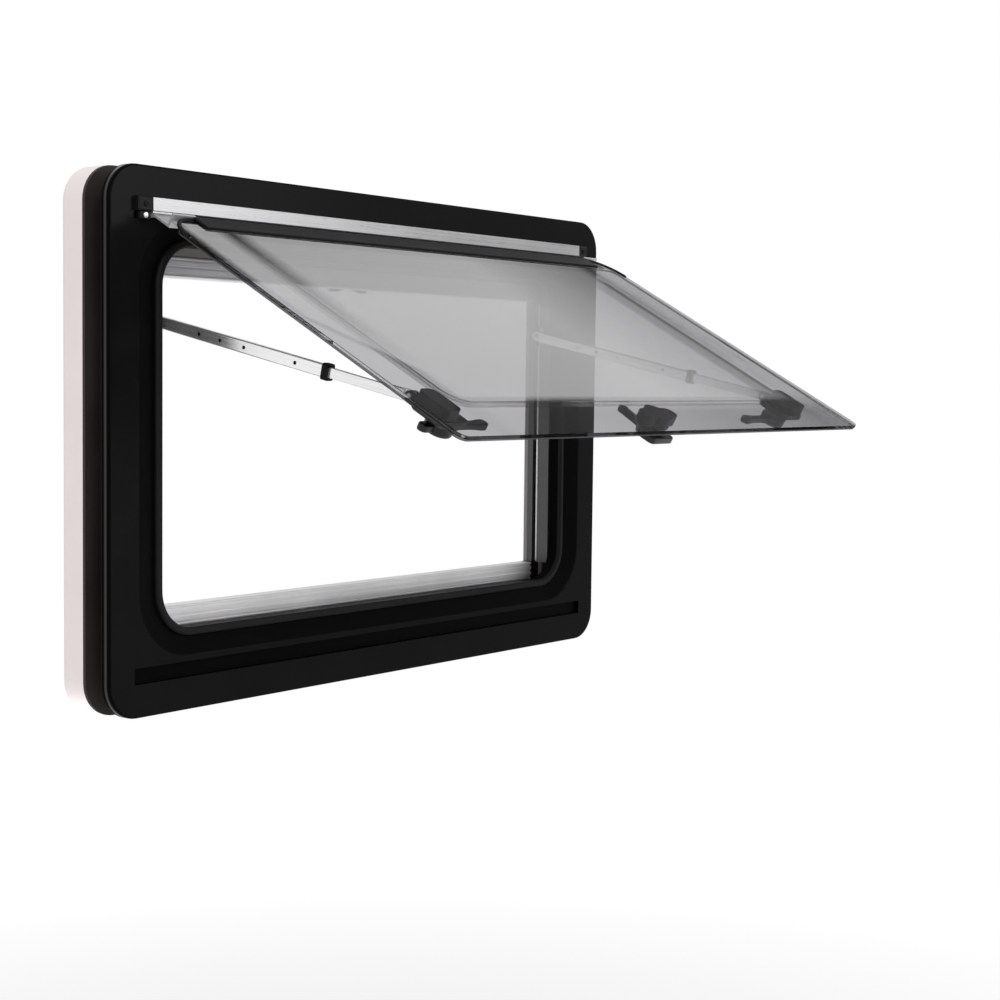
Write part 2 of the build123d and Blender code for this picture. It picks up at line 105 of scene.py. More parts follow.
def leaveEdit():
    bpy.ops.object.mode_set(mode="OBJECT")


def addBlock(name, size, place):
    deselectAll()
    bpy.ops.mesh.primitive_cube_add(size=1, location=place)
    block = bpy.context.object
    block.name = name
    block.scale = size
    bpy.ops.object.transform_apply(location=True, rotation=True, scale=True)
    return block


def addDrum(name, radius, depth, place, sides):
    deselectAll()
    bpy.ops.mesh.primitive_cylinder_add(vertices=sides, radius=radius, depth=depth, location=place)
    drum = bpy.context.object
    drum.name = name
    bpy.ops.object.transform_apply(location=True, rotation=True, scale=True)
    return drum


def roundUprights(piece, width, segments):
    # rounds the corners of a block, seen along its local z
    editSelected(piece, "EDGE", lambda a, b: abs(a.x - b.x) + abs(a.y - b.y) < nearEnough)
    bpy.ops.mesh.bevel(offset=width, segments=segments, affect="EDGES")
    leaveEdit()


def roundRim(piece, width, segments, top=True):
    # rounds the edge round the top or bottom face
    heights = [vertex.co.z for vertex in piece.data.vertices]
    level = max(heights) if top else min(heights)
    editSelected(piece, "EDGE", lambda a, b: abs(a.z - level) + abs(b.z - level) < nearEnough)
    bpy.ops.mesh.bevel(offset=width, segments=segments, affect="EDGES")
    leaveEdit()


def combine(piece, tool, operation):
    makeActive(piece)
    step = piece.modifiers.new("combine", "BOOLEAN")
    step.operation = operation
    step.solver = "EXACT"
    step.object = tool
    bpy.ops.object.modifier_apply(modifier=step.name)
    bpy.data.objects.remove(tool)


def softenEdges(piece, width, segments, angle=40):
    makeActive(piece)
    step = piece.modifiers.new("soften", "BEVEL")
    step.width = width
    step.segments = segments
    step.limit_method = "ANGLE"
    step.angle_limit = math.radians(angle)
    bpy.ops.object.modifier_apply(modifier=step.name)


def smoothOver(piece, angle=35):
    makeActive(piece)
    bpy.ops.object.shade_smooth_by_angle(angle=math.radians(angle))


def panePlace(point):
    # local x runs across the pane, y down the pane and z inwards
    axes = Matrix((acrossPane, downPane, -outOfPane)).transposed().to_4x4()
    return Matrix.Translation(point) @ axes


def facing(point, normal):
    # local z points along the normal
    return Matrix.Translation(point) @ Vector(normal).to_track_quat("Z", "Y").to_matrix().to_4x4()


def cornersOf(node):
    # low corner, middle and high corner of a CAD piece's box
    low, high = (Vector(corner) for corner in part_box(node))
    return low, (low + high) / 2, high


# shared surface effects
noiseSpan = (0.3, 0.7)  # where most of a noise's values lie


def newGroup(name, inputs, outputs):
    tree = bpy.data.node_groups.new(name, "ShaderNodeTree")
    for label, kind in inputs:
        tree.interface.new_socket(label, in_out="INPUT", socket_type=kind)
    for label, kind in outputs:
        tree.interface.new_socket(label, in_out="OUTPUT", socket_type=kind)
    return tree, tree.nodes.new("NodeGroupInput"), tree.nodes.new("NodeGroupOutput")


def addNode(tree, kind, **settings):
    node = tree.nodes.new(kind)
    for label, value in settings.items():
        setattr(node, label, value)
    return node


def addNoise(tree, vector, scale, detail):
    noise = tree.nodes.new("ShaderNodeTexNoise")
    noise.inputs["Detail"].default_value = detail
    tree.links.new(vector, noise.inputs["Vector"])
    if isinstance(scale, float):
        noise.inputs["Scale"].default_value = scale
    else:
        tree.links.new(scale, noise.inputs["Scale"])
    return noise.outputs["Fac"]


def addMath(tree, operation, first, second):
    step = addNode(tree, "ShaderNodeMath", operation=operation)
    for socket, value in zip(step.inputs, (first, second)):
        if isinstance(value, float):
            socket.default_value = value
        else:
            tree.links.new(value, socket)
    return step.outputs[0]


def addAbsolute(tree, value):
    return addMath(tree, "ABSOLUTE", value, 0.0)


def addBlend(tree, first, second, share):
    # a share of the first value, and the rest from the second
    firstPart = addMath(tree, "MULTIPLY", first, share)
    return addMath(tree, "ADD", firstPart, addMath(tree, "MULTIPLY", second, 1.0 - share))


def addRange(tree, value, fromLow, fromHigh, toLow, toHigh):
    step = tree.nodes.new("ShaderNodeMapRange")
    tree.links.new(value, step.inputs["Value"])
    for socket, level in zip(list(step.inputs)[1:5], (fromLow, fromHigh, toLow, toHigh)):
        if isinstance(level, float):
            socket.default_value = level
        else:
            tree.links.new(level, socket)
    return step.outputs["Result"]


def addBand(tree, value, start, full, fade, end):
    # 1 from full to fade, 0 before the start and after the end
    rise = addRange(tree, value, start, full, 0.0, 1.0)
    return addMath(tree, "MINIMUM", rise, addRange(tree, value, end, fade, 0.0, 1.0))


def addTint(tree, fac, dark, light):
    # mixes two colours, each a colour or a socket
    mix = addNode(tree, "ShaderNodeMix", data_type="RGBA")
    tree.links.new(fac, mix.inputs["Factor"])
    colourInputs = [socket for socket in mix.inputs if socket.type == "RGBA"]
    for socket, colour in zip(colourInputs, (dark, light)):
        if isinstance(colour, tuple):
            socket.default_value = (*colour, 1)
        else:
            tree.links.new(colour, socket)
    return [socket for socket in mix.outputs if socket.type == "RGBA"][0]


surfaceOut = [("Color", "NodeSocketColor"), ("Roughness", "NodeSocketFloat"), ("Height", "NodeSocketFloat")]
surfaceIn = [("Vector", "NodeSocketVector"), ("Dark", "NodeSocketColor"), ("Light", "NodeSocketColor"),
             ("Scale", "NodeSocketFloat"), ("Smooth", "NodeSocketFloat"), ("Rough", "NodeSocketFloat")]


def putOut(tree, result, colour, rough, height):
    tree.links.new(colour, result.inputs["Color"])
    tree.links.new(rough, result.inputs["Roughness"])
    tree.links.new(height, result.inputs["Height"])
    return tree


grain = {"fineDetail": 3.0, "cloudScale": 9.0, "cloudDetail": 4.0, "cloudShare": 0.7, "roughSpan": (0.1, 0.9)}


def makeMouldedGrain():
    # moulded plastic and rubber: broad handling cloudiness over a fine grain
    tree, given, result = newGroup("mouldedGrain", surfaceIn, surfaceOut)
    fine = addNoise(tree, given.outputs["Vector"], given.outputs["Scale"], grain["fineDetail"])
    broad = addNoise(tree, given.outputs["Vector"], grain["cloudScale"], grain["cloudDetail"])
    blend = addBlend(tree, addRange(tree, broad, *noiseSpan, 0.0, 1.0), fine, grain["cloudShare"])
    colour = addTint(tree, blend, given.outputs["Dark"], given.outputs["Light"])
    rough = addRange(tree, blend, *grain["roughSpan"], given.outputs["Smooth"], given.outputs["Rough"])
    return putOut(tree, result, colour, rough, fine)


drawn = {"stretch": 0.012, "lineDetail": 4.0, "lineShare": 0.65, "cloudScale": 14.0, "cloudDetail": 3.0}


def makeDrawnLines():
    # extruded metal: fine lines along local x, broken up by a faint cloudiness
    tree, given, result = newGroup("drawnLines", surfaceIn, surfaceOut)
    stretch = tree.nodes.new("ShaderNodeMapping")
    stretch.inputs["Scale"].default_value = (drawn["stretch"], 1, 1)
    tree.links.new(given.outputs["Vector"], stretch.inputs["Vector"])
    lines = addNoise(tree, stretch.outputs["Vector"], given.outputs["Scale"], drawn["lineDetail"])
    broad = addNoise(tree, given.outputs["Vector"], drawn["cloudScale"], drawn["cloudDetail"])
    blend = addBlend(tree, lines, broad, drawn["lineShare"])
    tone = addRange(tree, blend, *noiseSpan, 0.0, 1.0)
    colour = addTint(tree, tone, given.outputs["Dark"], given.outputs["Light"])
    rough = addRange(tree, blend, *noiseSpan, given.outputs["Smooth"], given.outputs["Rough"])
    return putOut(tree, result, colour, rough, lines)


mouldedGrain = makeMouldedGrain()
drawnLines = makeDrawnLines()
print("surface effects made")


# materials
windowCentre = tuple((low + high) / 2 for low, high in zip(*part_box("outer_frame")))
roomTurn = (0.3, 0.8)  # how squarely a face looks into the room before it counts as facing it


def startMaterial(name, centre, turn=(0, 0, 0)):
    material = bpy.data.materials.new(name)
    material.use_nodes = True
    tree = material.node_tree
    place = tree.nodes.new("ShaderNodeTexCoord")
    mapping = tree.nodes.new("ShaderNodeMapping")
    mapping.inputs["Location"].default_value = [-value for value in centre]
    mapping.inputs["Rotation"].default_value = turn
    tree.links.new(place.outputs["Object"], mapping.inputs["Vector"])
    return material, tree, tree.nodes["Principled BSDF"], mapping.outputs["Vector"]


def addSurface(tree, group, vector, look):
    surface = addNode(tree, "ShaderNodeGroup", node_tree=group)
    tree.links.new(vector, surface.inputs["Vector"])
    surface.inputs["Dark"].default_value = (*look["dark"], 1)
    surface.inputs["Light"].default_value = (*look["light"], 1)
    surface.inputs["Scale"].default_value = look["scale"]
    surface.inputs["Smooth"].default_value = look["smooth"]
    surface.inputs["Rough"].default_value = look["rough"]
    return surface


def finishSurface(tree, shader, surface, look, tone):
    # colour, roughness, gloss and bump, done alike for every plastic and metal
    tree.links.new(tone, shader.inputs["Base Color"])
    tree.links.new(surface.outputs["Roughness"], shader.inputs["Roughness"])
    shader.inputs["Specular IOR Level"].default_value = look["gloss"]
    bump = tree.nodes.new("ShaderNodeBump")
    bump.inputs["Strength"].default_value = look["bump"]
    bump.inputs["Distance"].default_value = look["depth"]
    tree.links.new(surface.outputs["Height"], bump.inputs["Height"])
    tree.links.new(bump.outputs["Normal"], shader.inputs["Normal"])


def addCoat(tree, shader, weight, rough):
    tree.links.new(weight, shader.inputs["Coat Weight"])
    shader.inputs["Coat Roughness"].default_value = rough


def finishMaterial(name, group, look, turn=(0, 0, 0)):
    material, tree, shader, vector = startMaterial(name, windowCentre, turn)
    surface = addSurface(tree, group, vector, look)
    finishSurface(tree, shader, surface, look, surface.outputs["Color"])
    shader.inputs["Metallic"].default_value = look["metal"]
    return material


def addDot(tree, vector, direction):
    dot = addNode(tree, "ShaderNodeVectorMath", operation="DOT_PRODUCT")
    tree.links.new(vector, dot.inputs[0])
    dot.inputs[1].default_value = direction
    return dot.outputs["Value"]


def normalAlong(tree, direction):
    # 1 where a face looks along the direction, -1 where it looks the other way
    return addDot(tree, tree.nodes.new("ShaderNodeTexCoord").outputs["Normal"], direction)


def normalShare(tree, direction):
    # 1 where a face is square to the direction, 0 where it runs along it
    return addAbsolute(tree, normalAlong(tree, direction))


def awayFromRoom(tree):
    # 0 on faces that look into the room, 1 on all others
    return addRange(tree, normalAlong(tree, (0, 1, 0)), *roomTurn, 1.0, 0.0)


blackFrameLook = {"dark": (0.0035, 0.0035, 0.0038), "light": (0.0055, 0.0055, 0.0058), "scale": 900.0,
                  "smooth": 0.3, "rough": 0.42, "gloss": 0.01, "bump": 0.12, "depth": 0.0003,
                  "recessShade": (0.002, 0.002, 0.0022), "faceDepth": 0.0006, "coat": 0.055, "coatRough": 0.2,
                  "cornerRound": 0.04, "rimWide": 0.004, "rimCoat": 0.75,
                  "rimDepth": (0.0042, 0.0056, 0.0078, 0.0092)}


def makeBlackFrame():
    # gloss on the flange's face and along its side; the bevel, the channel and the groove are painted a deeper
    # black as shade
    look = blackFrameLook
    material, tree, shader, vector = startMaterial("blackFrameGloss", windowCentre)
    surface = addSurface(tree, mouldedGrain, vector, look)
    place = tree.nodes.new("ShaderNodeSeparateXYZ")
    tree.links.new(vector, place.inputs["Vector"])
    low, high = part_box("outer_frame")
    faceLevel = low[1] - windowCentre[1]
    onFace = addRange(tree, place.outputs["Y"], faceLevel + look["faceDepth"], faceLevel, 0.0, 1.0)
    # painted shade: a deeper black off the flange's face, in the bevel, the channel and the groove
    tone = addTint(tree, onFace, look["recessShade"], surface.outputs["Color"])
    finishSurface(tree, shader, surface, look, tone)
    # distance from the corners' centre lines, which is the same all round the flange's side
    reaches = []
    for label, axis in (("X", 0), ("Z", 2)):
        straight = high[axis] - windowCentre[axis] - look["cornerRound"]
        past = addMath(tree, "SUBTRACT", addAbsolute(tree, place.outputs[label]), straight)
        reaches.append(addMath(tree, "POWER", addMath(tree, "MAXIMUM", past, 0.0), 2.0))
    reach = addMath(tree, "SQRT", addMath(tree, "ADD", *reaches), 0.0)
    rimStart = look["cornerRound"] - look["rimWide"]
    onRim = addRange(tree, reach, rimStart, rimStart + look["rimWide"] / 2, 0.0, look["rimCoat"])
    onSide = addBand(tree, place.outputs["Y"], *(faceLevel + depth for depth in look["rimDepth"]))
    sideCoat = addMath(tree, "MULTIPLY", onSide, onRim)
    coat = addMath(tree, "MAXIMUM", sideCoat, addMath(tree, "MULTIPLY", onFace, look["coat"]))
    addCoat(tree, shader, coat, look["coatRough"])
    return material


blackClampLook = {"dark": (0.018, 0.0145, 0.0135), "light": (0.034, 0.028, 0.0265), "scale": 700.0,
                  "smooth": 0.45, "rough": 0.6, "metal": 0.0, "gloss": 0.2, "bump": 0.2, "depth": 0.0003}
sealRubberLook = {"dark": (0.006, 0.006, 0.0065), "light": (0.013, 0.013, 0.0135), "scale": 500.0,
                  "smooth": 0.45, "rough": 0.62, "metal": 0.0, "gloss": 0.06, "bump": 0.2, "depth": 0.0004}
railMetalLook = {"dark": (0.26, 0.257, 0.26), "light": (0.35, 0.347, 0.353), "scale": 420.0,
                 "smooth": 0.24, "rough": 0.34, "metal": 0.7, "gloss": 0.5, "bump": 0.12, "depth": 0.0002}
leafMetalLook = {"dark": (0.45, 0.445, 0.45), "light": (0.6, 0.595, 0.605), "scale": 420.0,
                 "smooth": 0.4, "rough": 0.55, "metal": 0.7, "gloss": 0.5, "bump": 0.12, "depth": 0.0002}
# painted light: a lighter copy of the rail aluminium for the blind bars and guide lips
barMetalPaintedLightLook = {"dark": (0.6, 0.595, 0.6), "light": (0.84, 0.835, 0.845), "scale": 300.0,
                "smooth": 0.38, "rough": 0.52, "metal": 0.45, "gloss": 0.5, "bump": 0.15, "depth": 0.0002}
blackFittingLook = {"dark": (0.004, 0.004, 0.0045), "light": (0.009, 0.009, 0.0095), "scale": 800.0,
                    "smooth": 0.34, "rough": 0.5, "metal": 0.0, "gloss": 0.08, "bump": 0.15, "depth": 0.0003}
stayMetalLook = {"dark": (0.78, 0.78, 0.785), "light": (0.95, 0.95, 0.955), "scale": 520.0,
                 "smooth": 0.15, "rough": 0.26, "metal": 0.85, "gloss": 0.5, "bump": 0.1, "depth": 0.0002}
blackLatchLook = {"dark": (0.004, 0.004, 0.0045), "light": (0.01, 0.01, 0.0105), "scale": 900.0,
                  "smooth": 0.28, "rough": 0.42, "metal": 0.0, "gloss": 0.35, "bump": 0.12, "depth": 0.0003}
screwSteelLook = {"dark": (0.42, 0.42, 0.43), "light": (0.62, 0.62, 0.63), "scale": 900.0,
                  "smooth": 0.25, "rough": 0.4, "metal": 1.0, "gloss": 0.5, "bump": 0.1, "depth": 0.0002}

smokeSheetLook = {"tint": (0.51, 0.505, 0.515), "rightShadeTint": (0.36, 0.355, 0.365), "rightShadeRun": (-0.15, 0.0),
                  "shellTint": (0.31, 0.305, 0.315), "shellHalf": (0.418, 0.35), "shellRun": (-0.16, -0.05),
                  "shellAlong": (-0.372, 0.008), "soft": 0.006,
                  "shadeStreak": (0.322, 0.352, 0.378), "shadeStreakRun": (-0.37, -0.05), "shadeStreakCover": (1.0, 0.1),
                  "shadeStreakTint": (0.13, 0.128, 0.133),
                  "streakScale": 5.0, "streakDetail": 2.0, "streakShare": 0.08, "streakTint": (0.0, 0.0, 0.0),
                  "edge": (0.008, 0.008, 0.009), "edgeTurn": (0.55, 0.85),
                  "edgeCore": (0.75, 0.75, 0.76), "coreHalf": (0.0008, 0.00144), "coreTurn": (0.5, 0.9),
                  "roughSpan": (0.01, 0.02), "index": 1.03,
                  "coatIndex": 2.1, "coatRough": 0.02, "coatCover": (1.0, 0.2), "coatRun": (-0.3, 0.02)}


def shellShare(tree, vector):
    # 1 where the raised shell lies behind the outer sheet and 0 over the rim,
    # and with it the soft streak of painted shade along the shell's sides
    look = smokeSheetLook
    soft = look["soft"]
    fromSide = addAbsolute(tree, addMath(tree, "ADD", addDot(tree, vector, acrossPane), rimPoint[0]))
    along = addDot(tree, vector, downPane)
    half = addRange(tree, along, *look["shellRun"], *look["shellHalf"])
    within = addRange(tree, addMath(tree, "SUBTRACT", fromSide, half), soft, -soft, 0.0, 1.0)
    start, end = look["shellAlong"]
    between = addBand(tree, along, start - soft, start + soft, end - soft, end + soft)
    inner, middle, outer = look["shadeStreak"]
    # painted shade: a dark streak along the shell's sides, fading down the pane
    shadeStreak = addBand(tree, fromSide, inner, middle, middle, outer)
    shadeStreak = addMath(tree, "MULTIPLY", shadeStreak, addRange(tree, along, *look["shadeStreakRun"], *look["shadeStreakCover"]))
    within = addMath(tree, "MULTIPLY", within, addMath(tree, "SUBTRACT", 1.0, shadeStreak))
    return addMath(tree, "MULTIPLY", within, between), shadeStreak


def makeSmokeSheet():
    # tinted sheet, more reflective where the raised shell lies behind it; side edges have a pale core.
    # Painted shade darkens it towards the right-hand rim and in a streak along the shell's sides
    look = smokeSheetLook
    material, tree, shader, vector = startMaterial("smokeSheet", rimPoint)
    across = addDot(tree, vector, acrossPane)
    streaks = addNoise(tree, vector, look["streakScale"], look["streakDetail"])
    shell, shadeStreak = shellShare(tree, vector)
    # painted shade: the sheet gets darker towards the right-hand rim
    rightShade = addRange(tree, across, *look["rightShadeRun"], 0.0, 1.0)
    tint = addTint(tree, shell, addTint(tree, rightShade, look["tint"], look["rightShadeTint"]), look["shellTint"])
    tint = addTint(tree, addMath(tree, "MULTIPLY", streaks, look["streakShare"]), tint, look["streakTint"])
    # the painted shade streak darkens the tint
    tint = addTint(tree, shadeStreak, tint, look["shadeStreakTint"])
    sheetMiddle = pane["rimThick"] + pane["sheetThick"] / 2
    fromMiddle = addAbsolute(tree, addMath(tree, "SUBTRACT", addDot(tree, vector, outOfPane), sheetMiddle))
    core = addRange(tree, fromMiddle, *look["coreHalf"], 1.0, 0.0)
    sideways = addRange(tree, normalShare(tree, acrossPane), *look["coreTurn"], 0.0, 1.0)
    edge = addTint(tree, addMath(tree, "MULTIPLY", core, sideways), look["edge"], look["edgeCore"])
    flat = addRange(tree, normalShare(tree, outOfPane), *look["edgeTurn"], 0.0, 1.0)
    tree.links.new(addTint(tree, flat, edge, tint), shader.inputs["Base Color"])
    tree.links.new(addRange(tree, streaks, *noiseSpan, *look["roughSpan"]), shader.inputs["Roughness"])
    run = addRange(tree, across, *look["coatRun"], *look["coatCover"])
    coat = addMath(tree, "MULTIPLY", addMath(tree, "MULTIPLY", shell, flat), run)
    addCoat(tree, shader, coat, look["coatRough"])
    shader.inputs["Coat IOR"].default_value = look["coatIndex"]
    shader.inputs["Transmission Weight"].default_value = 1.0
    shader.inputs["IOR"].default_value = look["index"]
    return material


smokeShellLook = {"haze": (0.5, 0.495, 0.505), "hazeDark": (0.45, 0.4455, 0.4545),
                  "shade": (0.05, 0.05, 0.052), "cloudScale": 6.0, "cloudDetail": 2.0,
                  "raisedDepth": (-0.0004, -0.0014), "wallTurn": (0.76, 0.96), "bondDepth": (0.0023, 0.0019),
                  "hazeCover": 0.08, "wallCover": 0.35, "rimCover": 0.02, "edgeCover": 0.9,
                  "footShadeAlong": (-0.02, 0.03), "footShadeDepth": (0.0008, 0.0004),
                  "footShadeRun": (-0.57, -0.2), "footShadeCover": (0.15, 0.5), "roughSpan": (0.12, 0.2), "gloss": 0.1}


def makeSmokeShell():
    # formed inner sheet: clear rim with a band of painted shade along its foot, stronger towards the right,
    # faint haze on the raised shell, dark walls
    look = smokeShellLook
    material, tree, shader, vector = startMaterial("smokeShell", rimPoint)
    depth = addDot(tree, vector, outOfPane)
    raised = addRange(tree, depth, *look["raisedDepth"], 0.0, 1.0)
    flat = addRange(tree, normalShare(tree, outOfPane), *look["wallTurn"], 0.0, 1.0)
    # painted shade: a dark band along the rim's foot, more opaque towards the right
    footShade = addRange(tree, addDot(tree, vector, downPane), *look["footShadeAlong"], 0.0, 1.0)
    footShade = addMath(tree, "MULTIPLY", footShade, addRange(tree, depth, *look["footShadeDepth"], 0.0, 1.0))
    run = addRange(tree, addDot(tree, vector, acrossPane), *look["footShadeRun"], *look["footShadeCover"])
    cloud = addNoise(tree, vector, look["cloudScale"], look["cloudDetail"])
    haze = addTint(tree, footShade, addTint(tree, cloud, look["hazeDark"], look["haze"]), look["shade"])
    tree.links.new(addTint(tree, flat, look["shade"], haze), shader.inputs["Base Color"])
    shellCover = addRange(tree, flat, 0.0, 1.0, look["wallCover"], look["hazeCover"])
    rimCover = addRange(tree, footShade, 0.0, 1.0, look["rimCover"], run)
    rimCover = addRange(tree, flat, 0.0, 1.0, look["edgeCover"], rimCover)
    cover = addRange(tree, raised, 0.0, 1.0, rimCover, shellCover)
    # clear where it's bonded to the outer sheet
    unbonded = addRange(tree, depth, *look["bondDepth"], 0.0, 1.0)
    tree.links.new(addMath(tree, "MULTIPLY", cover, unbonded), shader.inputs["Alpha"])
    tree.links.new(addRange(tree, cloud, *noiseSpan, *look["roughSpan"]), shader.inputs["Roughness"])
    shader.inputs["Specular IOR Level"].default_value = look["gloss"]
    return material


greyGuideLook = {"dark": (0.035, 0.0345, 0.0335), "light": (0.055, 0.054, 0.052), "scale": 700.0,
                 "smooth": 0.3, "rough": 0.42, "gloss": 0.1, "bump": 0.15, "depth": 0.0003,
                 "coat": 1.0, "coatRough": 0.22, "roomSide": (0.006, 0.0055, 0.0055)}


def makeGreyGuide():
    # nearly black facing the room; the other sides are grey, partly a painted sheen, and carry a coat
    look = greyGuideLook
    material, tree, shader, vector = startMaterial("guideSheen", windowCentre)
    surface = addSurface(tree, mouldedGrain, vector, look)
    away = awayFromRoom(tree)
    # one part in two tones by facing: the grey away from the room is partly painted sheen
    tone = addTint(tree, away, look["roomSide"], surface.outputs["Color"])
    finishSurface(tree, shader, surface, look, tone)
    addCoat(tree, shader, addMath(tree, "MULTIPLY", away, look["coat"]), look["coatRough"])
    return material


whiteTrimLook = {"dark": (0.83, 0.745, 0.735), "light": (0.89, 0.81, 0.8), "scale": 620.0,
                 "smooth": 0.42, "rough": 0.55, "gloss": 0.35, "bump": 0.1, "depth": 0.0003,
                 "revealShade": (0.26, 0.245, 0.24), "revealHalf": 0.42, "revealSoft": 0.01}


def makeWhiteTrim():
    # painted shade: grey on the reveal's inner sides, round the opening
    look = whiteTrimLook
    material, tree, shader, vector = startMaterial("whiteTrimSatin", windowCentre)
    surface = addSurface(tree, mouldedGrain, vector, look)
    fromMiddle = addAbsolute(tree, addDot(tree, vector, acrossPane))
    inside = addRange(tree, fromMiddle, look["revealHalf"], look["revealHalf"] - look["revealSoft"], 0.0, 1.0)
    inRevealShade = addMath(tree, "MULTIPLY", inside, awayFromRoom(tree))
    # painted shade: the reveal's inner sides are greyed
    tone = addTint(tree, inRevealShade, surface.outputs["Color"], look["revealShade"])
    finishSurface(tree, shader, surface, look, tone)
    return material


stayFall = 0.218  # how far a stay falls for each metre outwards
stayTurn = (-math.atan(stayFall), 0, math.radians(90))  # lays the drawn lines along the stays
finishes = {
    "black_frame": makeBlackFrame(),
    "black_clamp": finishMaterial("blackClampMatt", mouldedGrain, blackClampLook),
    "seal_rubber": finishMaterial("sealRubber", mouldedGrain, sealRubberLook),
    "rail_aluminium": finishMaterial("railSatin", drawnLines, railMetalLook),
    "white_trim": makeWhiteTrim(),
    "black_fittings": finishMaterial("blackFitting", mouldedGrain, blackFittingLook),
    "grey_guide": makeGreyGuide(),
    "smoke_acrylic": makeSmokeSheet(),
    "stay_metal": finishMaterial("staySatin", drawnLines, stayMetalLook, stayTurn),
    "black_latch": finishMaterial("blackLatchSatin", mouldedGrain, blackLatchLook),
}
screwSteel = finishMaterial("screwSteel", drawnLines, screwSteelLook)
smokeShell = makeSmokeShell()
leafSatin = finishMaterial("leafSatin", drawnLines, leafMetalLook)
# lighter aluminium standing in for light on the blind bars
barSatinPaintedLight = finishMaterial("barSatinPaintedLight", drawnLines, barMetalPaintedLightLook)
slotOfNode = {row["node"]: row["material_slot"] for row in frame["record"]["subparts"]}


def dress(piece, material):
    if not piece.material_slots:
        piece.data.materials.append(material)
    for slot in piece.material_slots:
        slot.material = material


def fit(piece, body, slot, finish=None):
    # a finished piece gets its slot's own finish unless another is given
    dress(piece, finish or finishes[slot])
    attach(piece, body)


def copyOf(master, name, matrix):
    # each copy has its own mesh, with its place in the mesh
    copy = bpy.data.objects.new(name, master.data.copy())
    bpy.context.scene.collection.objects.link(copy)
    copy.data.transform(matrix)
    return copy


def placeCopy(master, name, matrix, body, slot, finish=None, mirrored=False):
    copy = copyOf(master, name, matrix)
    if mirrored:
        makeActive(copy)
        bpy.ops.object.mode_set(mode="EDIT")
        bpy.ops.mesh.select_all(action="SELECT")
        bpy.ops.mesh.normals_make_consistent(inside=False)
        leaveEdit()
    fit(copy, body, slot, finish)
    return copy


for name, piece in nodes.items():
    dress(piece, finishes[slotOfNode[name]])
dress(nodes["pane_inner"], smokeShell)
dress(nodes["sash_rail"], leafSatin)
dress(nodes["blind_bar_top"], barSatinPaintedLight)
dress(nodes["blind_bar_bottom"], barSatinPaintedLight)
print("finishes on all CAD pieces")


# dished hub, the same on all three levers
leverHub = {"radius": 0.016, "height": 0.012, "round": 0.0045, "dishInset": 0.0075, "dishDepth": 0.0012}


def addHub(name):
    top = leverHub["height"]
    hub = addDrum(name, leverHub["radius"], top, (0, 0, top / 2), sides=64)
    roundRim(hub, leverHub["round"], segments=6)
    editSelected(hub, "FACE", lambda centre: centre.z > top - nearEnough)
    bpy.ops.mesh.inset(thickness=leverHub["dishInset"] - leverHub["round"])
    bpy.ops.transform.translate(value=(0, 0, -leverHub["dishDepth"]))
    leaveEdit()
    return hub


# levers of the side latches, modelled once as the left one
# each waist has its start, its end and its share of the width
sideLever = {"reach": 0.072, "tail": 0.025, "endRadius": 0.006, "endRound": 0.00576, "thick": 0.008,
             "lift": 0.001, "soften": 0.0016, "cuts": (0.02, 0.032, 0.05, 0.058, 0.066),
             "waists": ((0.031, 0.051, 0.72), (0.057, 0.059, 0.82)), "waistThick": 0.92}


def modelSideLever():
    lever = sideLever
    length = lever["reach"] + lever["tail"] + 2 * lever["endRadius"]
    middle = (lever["reach"] - lever["tail"]) / 2
    height = lever["lift"] + lever["thick"] / 2
    arm = addBlock("leverArm", (length, 2 * lever["endRadius"], lever["thick"]), (middle, 0, height))
    roundUprights(arm, lever["endRound"], segments=8)
    # a slimmer shank between the hub and the finger end
    for cut in lever["cuts"]:
        editSelected(arm, "VERT", lambda place: True)
        bpy.ops.mesh.bisect(plane_co=(cut, 0, 0), plane_no=(1, 0, 0))
        leaveEdit()
    for start, end, share in lever["waists"]:
        editSelected(arm, "VERT", lambda place: start < place.x < end)
        bpy.ops.transform.resize(value=(1, share, lever["waistThick"]), center_override=(0, 0, height))
        leaveEdit()
    softenEdges(arm, lever["soften"], segments=3)
    combine(arm, addHub("leverHub"), "UNION")
    smoothOver(arm)
    return arm


# lever of the centre latch: hub, bent arm with a bulb, and the broad tongue
centreLever = {"arm": 0.050, "armWidth": 0.009, "armRound": 0.00432, "armTurn": -78, "bulb": 0.006,
               "bulbTop": 0.0022, "bulbFoot": 0.0016, "tongueWidth": 0.046, "tongueLength": 0.022,
               "tongueRound": 0.0058, "thick": 0.008, "lift": 0.001, "soften": 0.0016}


def modelCentreLever():
    lever = centreLever
    height = lever["lift"] + lever["thick"] / 2
    tongueSize = (lever["tongueWidth"], lever["tongueLength"], lever["thick"])
    tongue = addBlock("tongue", tongueSize, (0, lever["tongueLength"] / 2, height))
    roundUprights(tongue, lever["tongueRound"], segments=6)
    softenEdges(tongue, lever["soften"], segments=3)
    shankSize = (lever["arm"] + lever["armWidth"], lever["armWidth"], lever["thick"])
    shank = addBlock("shank", shankSize, (lever["arm"] / 2, 0, height))
    roundUprights(shank, lever["armRound"], segments=6)
    softenEdges(shank, lever["soften"], segments=3)
    bulb = addDrum("bulb", lever["bulb"], lever["thick"], (lever["arm"], 0, height), sides=40)
    roundRim(bulb, lever["bulbTop"], segments=4)
    roundRim(bulb, lever["bulbFoot"], segments=3, top=False)
    combine(shank, bulb, "UNION")
    shank.data.transform(Matrix.Rotation(math.radians(lever["armTurn"]), 4, "Z"))
    combine(tongue, shank, "UNION")
    combine(tongue, addHub("centreHub"), "UNION")
    smoothOver(tongue)
    return tongue


